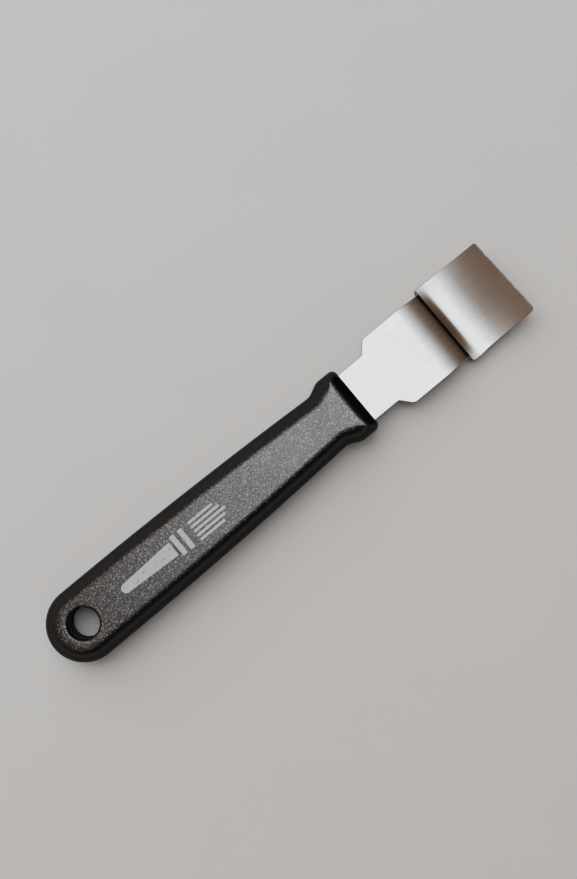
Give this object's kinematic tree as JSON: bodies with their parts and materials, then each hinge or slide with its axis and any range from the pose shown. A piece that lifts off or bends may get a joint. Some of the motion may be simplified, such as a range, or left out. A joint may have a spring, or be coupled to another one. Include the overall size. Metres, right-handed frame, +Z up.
{
  "type": "painters multi tool",
  "caption": "Hand tool for painters: a moulded handle with a hang hole, on a polished steel blade whose wide tip plate is stepped down and curved up to pry and scrape.",
  "frame": {"origin": "centre of the hang hole, halfway between the handle's top and bottom faces, on the mid plane of the blade's flat sheet", "axes": "+X along the tool towards the tip of the blade, +Z up out of the handle's top face, +Y to the left when looking along +X"},
  "size_m": [0.1792, 0.0288, 0.0116],
  "materials": {
    "handle_plastic": "fine spark-eroded grain, semi-matt black",
    "blade_steel": "polished stainless steel with faint lengthwise grain",
    "print_ink": "off-white pad-printed ink, slightly worn"
  },
  "bodies": {
    "root": {"handle": "handle_plastic", "blade": "blade_steel", "printed_mark": "print_ink"}
  },
  "joints": []
}
